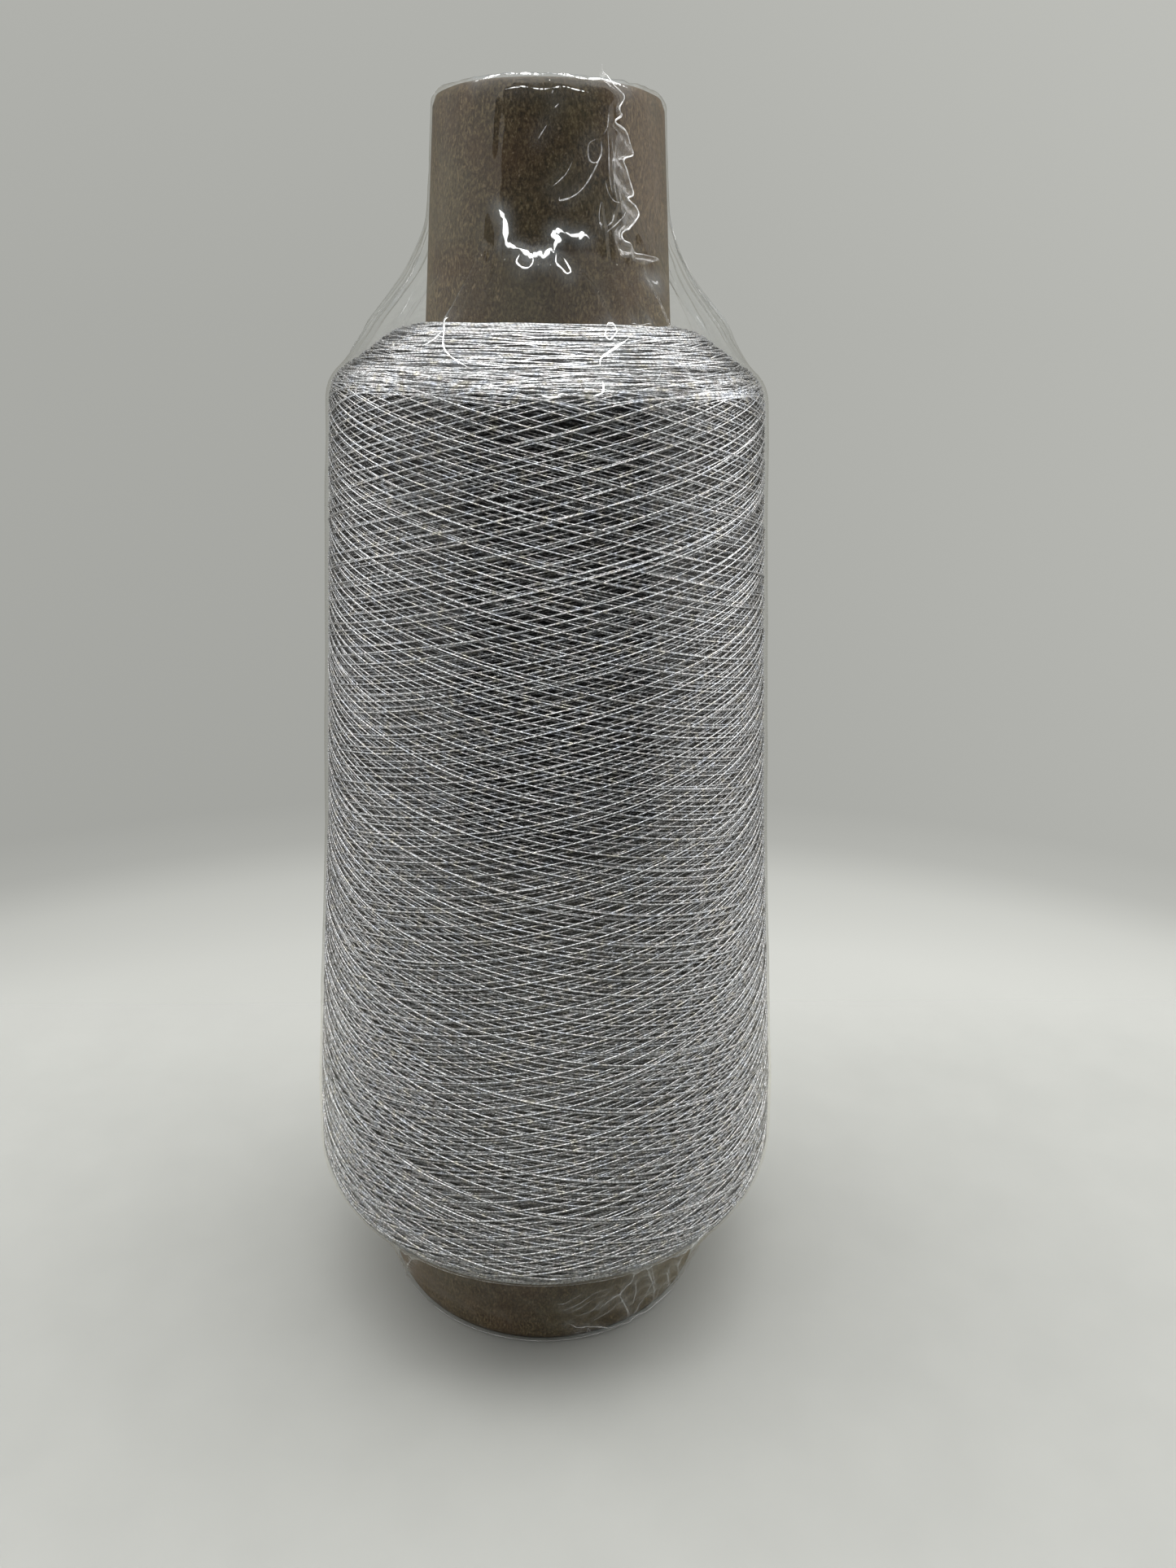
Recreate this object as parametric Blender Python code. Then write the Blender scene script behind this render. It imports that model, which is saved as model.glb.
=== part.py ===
"""A cone of metallic yarn in clear shrink film, standing on its wide end.

Metres, +Z up. The origin is on the floor at the centre of the base, and -Y is the front.
Pieces: a rolled paperboard cone, the yarn wound criss-cross on it, the yarn's running end,
the shrink film over everything, and the trim seal that closes the film along one side.
"""

import math

import bmesh
import bpy
from mathutils import Matrix, Vector

MM = 0.001

# Driving dimensions, in millimetres.
SEGMENTS = 60  # round the axis
GAP = 0.3  # clearance between neighbouring pieces
FILM = 0.25  # film thickness

CONE_HEIGHT = 229.4
CONE_BASE_RADIUS = 34.9
CONE_NOSE_RADIUS = 18.5
CONE_WALL = 2.8
NOSE_ROUND = 1.9  # radius of the burnished nose edge
NOSE_LIP = 0.7  # and of its inner edge
FOOT_ROUND = 0.6

WINDING_TOP = 195.9  # where the yarn meets the cone, measured from the cone's foot
WINDING_BOTTOM = 20.5
CROWN = (26.0, 194.9)  # radius and height of the nearly flat top's outer edge
UPPER_EDGE = (37.7, 187.0)  # where the upper shoulder would meet the side
WAIST = (43.2, 108.0)  # the side is very slightly hollow here
BELLY = (48.6, 46.0)  # the taper eases off below this
LOWER_EDGE = (49.5, 28.2)  # where the side would meet the lower shoulder
CROWN_ROUND = 7.0
UPPER_ROUND = 7.0
BELLY_ROUND = 120.0
LOWER_ROUND = 8.0

TENT_TOP = 218.0  # height where the film leaves the cone
TENT_SAG = 1.9  # how far the free film curves in between cone and shoulder
TENT_LANDING = 33.0  # radius where it lands on the upper shoulder
FOOT_TENT = (37.0, 7.0)  # where the lower free film reaches the cone's foot
FOOT_BEND = 6.0
TENT_STEPS = 6
FILM_LIP = 27.0  # radius of the film's opening under the foot
VENT_RADIUS = 2.0  # vent hole over the open nose

SEAL_AZIMUTH = -53.0  # degrees from +X, on the front right
SEAL_WANDER = 4.0  # degrees that the seal strays to either side
SEAL_WAVES = (23.0, 57.0)  # radians that its two waves turn through, from nose to foot
SEAL_WAVE_SHARES = (0.625, 0.375)
SEAL_WIDTH = 0.9
SEAL_THICKNESS = 0.35
SEAL_STATIONS = 56
SEAL_END = 1.75  # height where the seal stops above the floor

THREAD_RADIUS = 0.2
THREAD_START, THREAD_END = 35.0, 148.0  # degrees from +X, round the back
THREAD_LIFT = 1.4  # above the yarn, where it leaves the winding
THREAD_RISE = 9.0
THREAD_CLEAR = 0.9  # from the cone
THREAD_BOW = 1.4
THREAD_STEPS = 40

SHARP_EDGE = 35.0  # degrees
SAME = 0.01  # lengths closer than this are the same

BOARD_COLOUR = (0.25, 0.19, 0.13)
YARN_COLOUR = (0.66, 0.67, 0.69)
FILM_COLOUR = (0.93, 0.94, 0.93)
SEAL_COLOUR = (0.93, 0.94, 0.92)

FOOT = FILM + GAP  # the cone stands on the film folded under it


def clear_scene():
    for obj in list(bpy.data.objects):
        bpy.data.objects.remove(obj, do_unlink=True)


def make_material(name, colour, roughness, metallic=0.0, alpha=1.0):
    material = bpy.data.materials.new(name)
    material.use_nodes = True
    shader = material.node_tree.nodes["Principled BSDF"]
    shader.inputs["Base Color"].default_value = (*colour, 1.0)
    shader.inputs["Roughness"].default_value = roughness
    shader.inputs["Metallic"].default_value = metallic
    shader.inputs["Alpha"].default_value = alpha
    return material


def make_object(name, bm, material):
    """Turns a bmesh in millimetres into a smooth-shaded object in metres."""
    bmesh.ops.scale(bm, vec=(MM, MM, MM), verts=bm.verts)
    bmesh.ops.recalc_face_normals(bm, faces=bm.faces)
    mesh = bpy.data.meshes.new(name)
    bm.to_mesh(mesh)
    bm.free()
    mesh.shade_smooth()
    mesh.set_sharp_from_angle(angle=math.radians(SHARP_EDGE))
    mesh.materials.append(material)
    obj = bpy.data.objects.new(name, mesh)
    bpy.context.scene.collection.objects.link(obj)
    return obj


def rounded(corners):
    """A path in (radius, height) through corners (radius, height, rounding, steps)."""
    path = []
    for i, (r, z, rounding, steps) in enumerate(corners):
        here = Vector((r, z))
        if rounding == 0 or i in (0, len(corners) - 1):
            path.append(here)
            continue
        before = (Vector(corners[i - 1][:2]) - here).normalized()
        after = (Vector(corners[i + 1][:2]) - here).normalized()
        half = before.angle(after) / 2
        reach = rounding / math.tan(half)
        centre = here + (before + after).normalized() * (rounding / math.sin(half))
        start, end = here + before * reach - centre, here + after * reach - centre
        turn = start.angle_signed(end)
        for k in range(steps + 1):
            path.append(centre + Matrix.Rotation(-turn * k / steps, 2) @ start)
    return path


def offset(path, distance):
    """The path moved sideways: to the outside of a shape whose path runs from top to bottom."""
    moved = []
    for i, point in enumerate(path):
        ahead = (path[min(i + 1, len(path) - 1)] - point)
        behind = (point - path[max(i - 1, 0)])
        if ahead.length == 0:
            ahead = behind
        if behind.length == 0:
            behind = ahead
        ahead, behind = ahead.normalized(), behind.normalized()
        along = (ahead + behind).normalized()
        stretch = 1.0 / max(along.dot(ahead), 0.5)
        moved.append(point + Vector((-along.y, along.x)) * distance * stretch)
    return moved


def turned(name, outline, material):
    """A ring whose closed outline in (radius, height) is spun round the Z axis."""
    bm = bmesh.new()
    verts = [bm.verts.new((p.x, 0.0, p.y)) for p in outline]
    edges = [bm.edges.new((a, b)) for a, b in zip(verts, verts[1:] + verts[:1])]
    bmesh.ops.spin(
        bm,
        geom=verts + edges,
        cent=(0, 0, 0),
        axis=(0, 0, 1),
        angle=2 * math.pi,
        steps=SEGMENTS,
        use_merge=True,
    )
    bmesh.ops.remove_doubles(bm, verts=bm.verts, dist=1e-4)
    return make_object(name, bm, material)


def cone_radius(height):
    """Outer radius of the cone at a height above the floor."""
    share = (height - FOOT) / CONE_HEIGHT
    return CONE_BASE_RADIUS + (CONE_NOSE_RADIUS - CONE_BASE_RADIUS) * share


def winding_side():
    """The yarn's outer surface, from the cone over both shoulders and back to the cone."""
    top, bottom = FOOT + WINDING_TOP, FOOT + WINDING_BOTTOM
    return rounded(
        [
            (cone_radius(top) + GAP, top, 0, 0),
            (CROWN[0], FOOT + CROWN[1], CROWN_ROUND, 3),
            (UPPER_EDGE[0], FOOT + UPPER_EDGE[1], UPPER_ROUND, 5),
            (WAIST[0], FOOT + WAIST[1], 0, 0),
            (BELLY[0], FOOT + BELLY[1], BELLY_ROUND, 2),
            (LOWER_EDGE[0], FOOT + LOWER_EDGE[1], LOWER_ROUND, 6),
            (cone_radius(bottom) + GAP, bottom, 0, 0),
        ]
    )


def make_cone(material):
    """The paperboard cone: an open tapered tube with rounded ends."""
    top, inner = FOOT + CONE_HEIGHT, CONE_WALL
    outline = rounded(
        [
            (CONE_NOSE_RADIUS - inner / 2, top, 0, 0),
            (CONE_NOSE_RADIUS, top, NOSE_ROUND, 4),
            (CONE_BASE_RADIUS, FOOT, FOOT_ROUND, 2),
            (CONE_BASE_RADIUS - inner, FOOT, FOOT_ROUND, 2),
            (CONE_NOSE_RADIUS - inner, top, NOSE_LIP, 4),
            (CONE_NOSE_RADIUS - inner / 2, top, 0, 0),
        ]
    )
    return turned("core_cone", outline[:-1], material)


def make_winding(material):
    """The wound yarn as one solid: its outer surface, closed along the cone."""
    return turned("yarn_winding", winding_side(), material)


def film_inside():
    """The film's inner surface, from the vent over the nose to the opening under the foot."""
    top = FOOT + CONE_HEIGHT + GAP
    leave = Vector((cone_radius(TENT_TOP) + GAP, TENT_TOP))
    wound = offset(winding_side(), GAP)
    landing = next(i for i, p in enumerate(wound) if p.x > TENT_LANDING)
    on_yarn = wound[landing:-1]
    middle = (leave + on_yarn[0]) / 2
    across = (on_yarn[0] - leave).normalized()
    control = middle + Vector((across.y, -across.x)) * TENT_SAG * 2
    tent = []
    for k in range(1, TENT_STEPS):
        t = k / TENT_STEPS
        tent.append(leave * (1 - t) ** 2 + control * 2 * t * (1 - t) + on_yarn[0] * t**2)
    nose = rounded(
        [
            (VENT_RADIUS, top, 0, 0),
            (CONE_NOSE_RADIUS + GAP, top, NOSE_ROUND + GAP, 4),
            (leave.x, leave.y, 0, 0),
        ]
    )
    foot = rounded(
        [
            (on_yarn[-1].x, on_yarn[-1].y, 0, 0),
            (FOOT_TENT[0], FOOT + FOOT_TENT[1], FOOT_BEND, 3),
            (CONE_BASE_RADIUS + GAP, FILM, FOOT_ROUND + GAP, 3),
            (FILM_LIP, FILM, 0, 0),
        ]
    )
    return nose + tent + on_yarn + foot[1:]


def make_film(material):
    """The shrink film: a thin skin, open at the vent and under the foot."""
    inside = film_inside()
    return turned("film_wrap", offset(inside, FILM) + inside[::-1], material)


def make_seal(material):
    """The welded and trimmed edge that runs down the film from nose to foot."""
    inside = film_inside()
    down = [p for p in inside if p.y > SEAL_END and p.x > CONE_NOSE_RADIUS + GAP - SAME]
    near = offset(down, FILM + GAP)
    far = offset(down, FILM + GAP + SEAL_THICKNESS)
    lengths = [0.0]
    for a, b in zip(down, down[1:]):
        lengths.append(lengths[-1] + (b - a).length)

    def at(path, distance):
        k = next(i for i in range(1, len(lengths)) if distance <= lengths[i])
        share = (distance - lengths[k - 1]) / (lengths[k] - lengths[k - 1])
        return path[k - 1].lerp(path[k], share)

    even = {lengths[-1] * k / SEAL_STATIONS for k in range(1, SEAL_STATIONS)}
    stations = sorted(even | set(lengths))
    bm = bmesh.new()
    rings = []
    for distance in stations:
        waves = zip(SEAL_WAVES, SEAL_WAVE_SHARES)
        wander = sum(size * math.sin(turns * distance / lengths[-1]) for turns, size in waves)
        azimuth = math.radians(SEAL_AZIMUTH + SEAL_WANDER * wander)
        low, high = at(near, distance), at(far, distance)
        ring = []
        for p, side in ((low, -1), (low, 1), (high, 1), (high, -1)):
            angle = azimuth + side * SEAL_WIDTH / 2 / p.x
            ring.append(bm.verts.new((p.x * math.cos(angle), p.x * math.sin(angle), p.y)))
        rings.append(ring)
    for a, b in zip(rings, rings[1:]):
        for k in range(4):
            bm.faces.new((a[k], a[(k + 1) % 4], b[(k + 1) % 4], b[k]))
    bm.faces.new(rings[0])
    bm.faces.new(rings[-1][::-1])
    return make_object("film_trim_seal", bm, material)


def make_running_end(material):
    """The yarn's free end, lying in the free space on the upper shoulder behind the cone."""
    curve = bpy.data.curves.new("yarn_running_end", "CURVE")
    curve.dimensions = "3D"
    curve.bevel_depth = THREAD_RADIUS * MM
    curve.bevel_resolution = 1
    curve.use_fill_caps = True
    spline = curve.splines.new("POLY")
    spline.points.add(THREAD_STEPS)
    for k in range(THREAD_STEPS + 1):
        share = k / THREAD_STEPS
        angle = math.radians(THREAD_START + (THREAD_END - THREAD_START) * share)
        height = FOOT + WINDING_TOP + THREAD_LIFT + THREAD_RISE * share**2
        radius = cone_radius(height) + THREAD_CLEAR + THREAD_BOW * math.sin(math.pi * share)
        x, y = radius * math.cos(angle), radius * math.sin(angle)
        spline.points[k].co = (x * MM, y * MM, height * MM, 1.0)
    curve.materials.append(material)
    obj = bpy.data.objects.new("yarn_running_end", curve)
    bpy.context.scene.collection.objects.link(obj)
    return obj


def main():
    clear_scene()
    kraft = make_material("kraft_board", BOARD_COLOUR, 0.85)
    yarn = make_material("metallic_yarn", YARN_COLOUR, 0.35, metallic=0.9)
    film = make_material("clear_film", FILM_COLOUR, 0.08, alpha=0.18)
    seal = make_material("film_seal", SEAL_COLOUR, 0.2, alpha=0.55)
    make_cone(kraft)
    make_winding(yarn)
    make_running_end(yarn)
    make_film(film)
    make_seal(seal)


main()
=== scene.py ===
"""The looks of a cone of metallic yarn in clear shrink film.

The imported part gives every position. Each visible surface is rebuilt as a finer mesh with a procedural
material: the board cone, the yarn strand by strand, the creased film and its ragged seal.
Lengths in the constants are millimetres; the scene itself is in metres.
"""

import math

import bpy
import numpy as np
from mathutils import Matrix, Vector, noise


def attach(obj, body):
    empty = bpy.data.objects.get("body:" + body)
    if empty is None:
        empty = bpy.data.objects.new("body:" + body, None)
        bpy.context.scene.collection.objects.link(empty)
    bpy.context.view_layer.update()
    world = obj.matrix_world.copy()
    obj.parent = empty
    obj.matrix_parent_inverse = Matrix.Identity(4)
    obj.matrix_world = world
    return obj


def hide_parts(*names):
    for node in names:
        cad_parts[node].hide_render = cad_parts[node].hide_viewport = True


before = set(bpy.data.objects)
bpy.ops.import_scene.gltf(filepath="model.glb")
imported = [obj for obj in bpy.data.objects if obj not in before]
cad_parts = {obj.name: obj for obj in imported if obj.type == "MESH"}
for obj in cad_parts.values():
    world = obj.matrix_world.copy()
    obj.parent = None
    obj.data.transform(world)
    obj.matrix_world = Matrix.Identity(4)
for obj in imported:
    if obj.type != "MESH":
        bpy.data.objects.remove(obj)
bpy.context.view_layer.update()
MM, TINY = 0.001, 1e-9
TAU = 2 * math.pi

# Camera: it looks down at the cone from the height of its upper shoulder.
CAMERA_BACK, CAMERA_HEIGHT = 210.1, 195.8
CAMERA_PITCH, CAMERA_YAW, CAMERA_ROLL = 21.95, 2.21, 0.955  # degrees
LENS, SENSOR = 26, 36

# Yarn.
STRAND_RADIUS = 0.126
WIND_ADVANCE = 61  # down the side, for one turn round the cone
TRAVERSES = 600  # strands from one end to the other
TOP_DEPTH, DEEPEST = 0.15, 1.6
GOLDEN = 0.618034  # of a turn between one traverse and the next but one
PIECE_STRANDS = 120
DIVE = 0.12  # how far a strand sinks under its neighbours now and then
ROW_STEP = 0.27  # between the rows of arcs on a shoulder
ARC_SPACING = 22  # along a row
TURN_ANGLE = 0.36  # radians over which a strand turns back at an end
TAIL, EASE_ANGLE = 0.2, 0.3  # radians: its tucked end, and its way to its own depth
TURN_BELOW_TOP, TURN_ABOVE_FOOT = 9, 8.5  # heights where strands turn back, from the winding's ends
TURN_DEPTH, TUCK_DEPTH = 0.16, 0.9
BACKWARD_START = 0.31  # of a turn from a strand down to the next one up
UPPER_SHOULDER, LOWER_SHOULDER = 10.5, 9  # heights of the shoulders that the arcs cover
SEGMENT = 3.7  # strand mesh step
BUNDLE_LOW, BUNDLE_HIGH, BUNDLE_SHARE = 35, 155, 0.65  # towards the foot, strands lie in bundles
BED_DEPTH, BED_END_DEPTH = 1.9, 0.45  # the packed yarn under the strands, dark as painted shade, and at its ends
BED_EASE, BED_INNER_STEP, BED_ROWS, BED_COLUMNS = 24, 6, 160, 200
CONE_STEP, CONE_COLUMNS = 1.5, 240

THREAD_TINTS = (
    (0.30, (0.86, 0.89, 0.96)), (0.42, (0.90, 0.91, 0.92)), (0.50, (0.93, 0.94, 0.93)),
    (0.58, (0.94, 0.91, 0.93)), (0.70, (0.96, 0.93, 0.83)),
)
THREAD_CAPS = np.array([[[3, 2, 1, 0]], [[0, 1, 2, 3]]])
TWIST = 0.9  # length of one turn of the thread's twist
PAINTED_FOOT_SHADE, FOOT_SHADE_SPAN = 0.77, (0.03, 0.15)  # painted shade: the yarn's colour at the foot, as a share, fading out between heights in metres
DEEP_SHADE_BELOW = (0.17, 0.11)  # metres: lower down, the strands under others are darker still, as painted shade

# Sizes of the materials' noises, as repeats in a metre, and depths of their reliefs in metres.
FIBRES, CLOUDS, PATCHES, SPECKS = 2400, 150, 45, 1700
# GLINTS sizes the painted sparkle along the thread.
TWIST_WANDER, THREAD_GRAIN, TINTS, GLINTS, BED_LINES = 300, 1500, 700, 1700, 2400
CRUMPLES, SWELLS, HAZE_CLOUDS = 260, 90, 420
BOARD_STRETCH, BED_STRETCH = 0.6, 0.25
BOARD_RELIEF, THREAD_RELIEF, BED_RELIEF, FILM_RELIEF, BEAD_RELIEF = 0.0002, 0.00003, 0.0003, 0.0005, 0.0001

# Colours, linear.
# The board's browns are its own brown, kept much darker as painted shade for the little light that reaches
# it.
FIBRE_DARK, BOARD_BROWN, FIBRE_LIGHT = (0.007, 0.005, 0.002), (0.030, 0.020, 0.009), (0.094, 0.072, 0.038)
BOARD_SHADE, BOARD_GREEN, BOARD_RED = (0.020, 0.013, 0.006), (0.052, 0.045, 0.024), (0.055, 0.028, 0.013)
SPECK_LIGHT = (0.15, 0.115, 0.075)
# The packed yarn's colours are painted shade of the deeper yarn.
BED_DARK, BED_LIGHT = (0.012, 0.012, 0.014), (0.16, 0.16, 0.17)
GLOSS_WARM, FILM_TINT, MILK_COOL = (1, 0.96, 0.87, 1), (0.985, 0.988, 0.985, 1), (0.85, 0.92, 0.95, 1)
BEAD_WHITE, WHITE = (1, 1, 0.98, 1), (1, 1, 1, 1)
FLOOR_DARK, FLOOR_LIGHT = (0.372, 0.376, 0.353), (0.388, 0.392, 0.368)

# Film. Places on it are (degrees right of the front, height).
FILM_COLUMNS = 320
FILM_GAP = 0.35  # between the cone and the film that clings to it
CLING_FRONT, CLING_SIDE = 209.5, 217  # where the film leaves the cone
TENT_END = 195.5  # below this height the film lies as packed
VENT_RADIUS, DISC_STEP = 2.3, 1.6  # of the film over the nose
LIP_RADIUS, LIP_RISE = 27.1, 0.14  # of the film folded under the foot
FILM_ROWS = (  # (height, step between rows)
    (231, 1.5), (230.9, 0.35), (228, 0.4), (226, 0.9), (205, 0.8), (195, 1), (184, 1.2),
    (178, 4), (40, 4), (33, 1.2), (26, 0.9), (2, 0.8), (0, 0.6),
)
SLACK_WAVES = ((0.30, 24, 2), (0.16, 9, 3))  # (height, size, seed) of the film's waves on the yarn
TENT_FOLDS, FOOT_GATHERS = 30, 44
SLACK_LOW, SLACK_HIGH = -0.12, 1.3  # limits of its wrinkles
FILM_SEED, SMOOTH_FRONT, HEM_FLAT = 21, 20, 4  # fewer folds this many degrees off the front; flat below
RIDGE_WIDTH, MILK_WIDTH = 0.55, 1.5  # of a crease's ridge and of the haze beside it
HEM_WAVES, LANDING_WAVES = ((0.12, 60 / TAU),), ((0.25, 47 / TAU), (0.15, 131 / TAU))  # (size, how many)
NOSE_WAVES, NOSE_GAP = ((0.2, 11), (0.15, 31)), 0.95  # radians off the front, where its rim's crease starts
SEAL_HIGH, SEAL_LOW, LOOSE_CREASES = 204.5, 27, 46
GATHERED = {  # film in beads and welds: cover, roughness, painted glow, and its gaps: size, shut below, thinnest
    "highlight_crease": (1, 0.2, 0.6, 1500, 0.38, 0.3),
    "bead": (0.6, 0.2, 0, 1500, 0.38, 0.3),
    "crease": (0.3, 0.25, 0, 1500, 0.38, 0.3),
    "foot_crease": (0.26, 0.25, 0, 1100, 0.38, 0.3),
    "weld": (0.16, 0.15, 0, 1500, 0.38, 0.3),
    "thin_weld": (0.06, 0.15, 0, 1500, 0.38, 0.3),
    "fold": (0.03, 0.2, 0, 900, 0.38, 0.3),
    "glint": (1, 0.2, 0.5, 2600, 0.47, 0),
}

# Backdrop as the camera sees it: grey levels by 0.75 + 0.6 of the elevation in radians. Below, the floor's
# tones, above, the wall's, with a darker band between them as painted shade where they meet.
BACKDROP = ((0.12, 0.56), (0.27, 0.575), (0.36, 0.645), (0.40, 0.67), (0.44, 0.63), (0.475, 0.53),
            (0.495, 0.41), (0.515, 0.37), (0.75, 0.40), (0.96, 0.46))
WALL_TONES = ((0.0, 0.5), (0.45, 0.45), (0.75, 0.6), (1.0, 0.9))  # as reflections see it
WALL_BEHIND = (0.2, 0.202, 0.19)
FIGURE_TONE, FIGURE_AZIMUTH = (0.03, 0.028, 0.025), math.radians(5)  # of the dark figure at the camera
FIGURE_SIDE, FIGURE_TOP = (math.radians(47), math.radians(49)), (math.radians(38), math.radians(50))
FLOOR_RADIUS, FLOOR_FADE, FLOOR_FADE_BEHIND = 0.52, (0.3, 0.5), (0.05, 0.13)  # metres

# Area lights: name, place, what it points at, size (metres) and power, by what they light.
LIGHTS = {
    "room": (
        ("ceiling", (0.0, 0.1, 1.0), (0, 0, 0.1), (1.5, 0.8), 11.5),
        ("left_wall", (-0.8, 0.2, 0.5), (0, 0, 0.1), (0.7, 0.7), 2.9),
        ("right_wall", (0.8, 0.2, 0.5), (0, 0, 0.1), (0.7, 0.7), 3.3),
    ),
    "object": (("softbox", (0.0, -0.47, 1.0), (0, 0, 0.12), (1.2, 0.3), 9.0),),
    "board": (
        ("left_window", (-0.75, 0.1, 0.4), (0, 0, 0.15), (0.5, 0.5), 8.0),
        ("right_window", (0.75, 0.1, 0.4), (0, 0, 0.15), (0.5, 0.5), 10.0),
        ("foot_glow", (0, -0.2, 0.03), (0, 0, 0.01), (0.2, 0.03), 0.12),
    ),
}
LAMP = ("lamp", (0.02, -0.55, 0.95), (0, 0, 0.12), (0.03, 0.03), 0.12)

# Creases of the film: half width of the bead of gathered plastic, height of the ridge, and its way.
# The neck's creases, white and glowing, are also the painted highlight of the lamp along the film's bend.
NECK_CREASES = (
    (0.11, 0.25, ((-29, 196.2), (-30, 195.2), (-28.5, 192.8), (-25, 191.3), (-19.5, 189.9))),
    (0.12, 0.1, ((-31, 194.8), (-33, 193.6), (-35.5, 192.8))),
    (0.13, 0.25, ((22.5, 194.3), (18, 193), (13.5, 191.6), (12.5, 190.4))),
    (0.1, 0.15, ((16.2, 195.6), (17.1, 196.1), (18.8, 195.7), (18.6, 194.8), (16.7, 194.1), (15.6, 194.7),
        (16.5, 195.5))),
    (0.1, 0.15, ((12.4, 188.4), (12, 187), (9.7, 186.4))),
    (0.08, 0.1, ((-2, 186.6), (1, 186.3), (3.5, 186.9))),
    (0.27, 0.25, ((-21.5, 212), (-19.5, 211), (-18.5, 210), (-18, 207.5), (-15.5, 207), (-12, 206.5))),
    (0.33, 0.25, ((-12, 206.5), (-9, 206), (-6.5, 205.5), (-4, 206), (-2, 205.5), (0.5, 206.5), (2, 206))),
    (0.28, 0.2, ((2, 206), (3, 207.5), (4.5, 208), (2, 208.5), (2.5, 209), (5, 209.2), (7, 208.8))),
    (0.22, 0.15, ((7, 209), (9.5, 208.6), (12.5, 208.7), (14.5, 209), (13.3, 208.3), (15.7, 208.8),
        (17.6, 208.3))),
    (0.1, 0.1, ((-11.8, 205.8), (-12.8, 204.8), (-10.3, 204), (-7.7, 204), (-6.2, 204.8), (-6.6, 205.7))),
    (0.11, 0.1, ((3, 206), (3, 204.8), (5.3, 203.9), (6.8, 203.3), (8.5, 203.6), (7.6, 204.5),
        (6.1, 205.4))),
)
FINE_CREASES = (
    (0.07, 0.05, ((-1, 223.3), (-4.7, 221.5))),
    (0.06, 0.08, ((10, 218.5), (7, 216.8), (1.5, 215.2))),
    (0.09, 0.15, ((24, 220.7), (21, 218.3), (16, 215.6), (11, 214.1), (5, 213.3), (4.5, 213.8))),
    (0.09, 0.1, ((21, 221.8), (17.5, 221), (17.8, 219), (21, 218.7), (23.4, 219.9), (23.4, 221.5))),
    (0.1, 0.05, ((29, 211.8), (28, 210.7), (25.5, 210))),
    (0.08, 0.1, ((35, 212.2), (32.5, 211.1), (25, 209.1))),
    (0.12, 0.05, ((22, 210.5), (23.2, 210.1))),
    (0.22, 0.05, ((41.5, 202.6), (43, 202.2), (43.5, 202.6))),
    (0.07, 0.05, ((4.3, 226.1), (2.5, 225.6))),
    (0.07, 0.05, ((1.8, 227.8), (1.2, 227.4))),
    (0.02, 0.8, ((-27, 206), (-29.5, 201), (-30, 196))),
    (0.02, 0.5, ((-27, 203.3), (-29, 199.5), (-29.5, 196))),
    (0.02, 0.7, ((12.5, 203), (16, 200.5), (17.5, 196.4), (19, 194))),
    (0.02, 0.5, ((-44.7, 202), (-45, 198.5), (-44.8, 195.7))),
    (0.07, 0.15, ((28.1, 189.5), (25.8, 188.4))),
    (0.08, 0.1, ((24, 196.1), (30.5, 196))),
    (0.1, 0.15, ((78.7, 211.2), (76, 209.9), (71.3, 208.4))),
    (0.07, 0.15, ((54, 197.8), (54.6, 196))),
    (0.06, 0.2, ((26, 223.5), (27, 220.5), (26.5, 217.5), (28, 214.5))),
    (0.05, 0.2, ((28, 222.8), (29.5, 219), (29, 216), (30.5, 213))),
    (0.05, 0.2, ((24.5, 216.5), (26.5, 214.5), (29, 213.4), (32, 213.2))),
    (0.05, 0.15, ((27.5, 225.5), (26.5, 223.8), (24.5, 222.4))),
    (0.05, 0.15, ((23, 213.5), (22, 211.5), (23, 209.4))),
)
# The rim's creases are painted glints of the film folded over the rim.
RIM_CREASES = (
    (0.07, 0.1, ((-21, 227.9), (-12, 228.2), (-3, 227.9), (6, 228.3), (12, 228), (17.5, 227.8))),
    (0.15, 0.1, ((-36, 229.2), (-27, 229.6), (-20, 229.8), (-13, 229.9), (-7, 229.7), (0, 229.9))),
    (0.14, 0.1, ((0, 229.9), (8, 229.8), (16, 229.5), (24, 229.7), (31, 229.3), (38, 228.9))),
)
FOOT_CREASES = (
    (0.11, 0.6, ((20.5, 31), (22.5, 24), (21.5, 19), (20, 18), (18, 16), (15.5, 12.5))),
    (0.12, 0.5, ((20, 18), (23.5, 12), (27, 6.5), (28, 3.7), (29.5, 1))),
    (0.1, 0.4, ((34, 9.5), (32, 5.8), (30.5, 2.8), (29, 2.8))),
    (0.12, 0.5, ((23.5, 29.5), (30, 18.5), (35, 11), (38, 5.7), (36.5, 3.5), (36, 2.7))),
    (0.08, 0.3, ((39.5, 10.5), (40, 6.8), (39, 5))),
    (0.1, 0.7, ((34.8, 20.2), (40, 12), (45.5, 5.2))),
    (0.1, 0.8, ((37.3, 22.2), (43.6, 13.7), (49, 6.3), (48, 4.4))),
    (0.18, 0.5, ((38, 33), (36, 31.5), (34, 29.5), (32.6, 27), (31.4, 24))),
    (0.05, 0.3, ((16, 22), (13, 20), (10, 17), (5, 14))),
    (0.04, 0.3, ((17, 20), (12, 16.5), (7, 12.5))),
    (0.05, 0.3, ((18, 18), (14, 14), (10, 10.5))),
    (0.04, 0.25, ((9, 20.1), (6.3, 18.7), (3, 17.5))),
    (0.05, 0.3, ((22, 14), (19, 9.5), (15, 6.5))),
    (0.07, 0.3, ((24, 22), (26.5, 15), (28, 9))),
    (0.07, 0.3, ((27, 26), (31.5, 16.5), (32.5, 9))),
    (0.08, 0.4, ((-34, 31), (-38.5, 21.7))),
    (0.08, 0.5, ((-32.5, 28.5), (-47, 13), (-58, 2))),
)
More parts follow.
